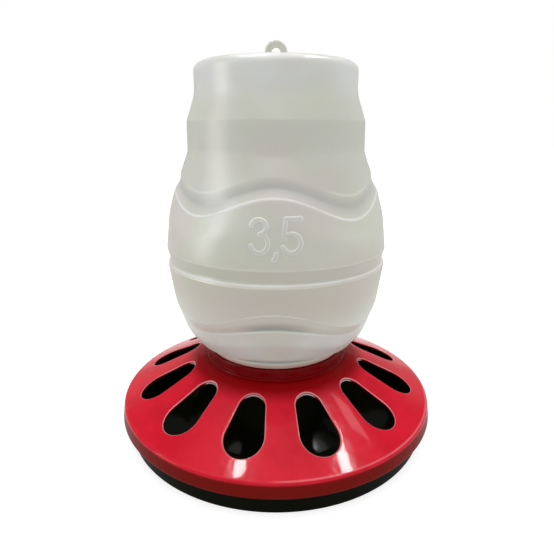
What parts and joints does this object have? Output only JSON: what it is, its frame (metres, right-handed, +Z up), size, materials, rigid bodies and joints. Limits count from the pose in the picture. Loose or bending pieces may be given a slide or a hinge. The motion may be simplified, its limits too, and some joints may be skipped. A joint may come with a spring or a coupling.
{
  "type": "bird feeder",
  "caption": "Gravity feeder for chicks: translucent ribbed bottle hopper, neck down, on a red slotted feeding cover over a round black pan.",
  "frame": {"origin": "on the surface it stands on, under the middle of the pan", "axes": "+Z up along the feeder's axis, -Y out of the hopper's front where its capacity number stands, +X to the viewer's right"},
  "size_m": [0.255, 0.255, 0.2965],
  "materials": {
    "black_plastic": "satin black injection moulded plastic",
    "red_plastic": "glossy red injection moulded plastic",
    "milky_plastic": "milky translucent blow moulded plastic, soft sheen"
  },
  "bodies": {
    "root": {"feed_pan": "black_plastic", "feeding_cover": "red_plastic", "hopper": "milky_plastic"}
  },
  "joints": []
}
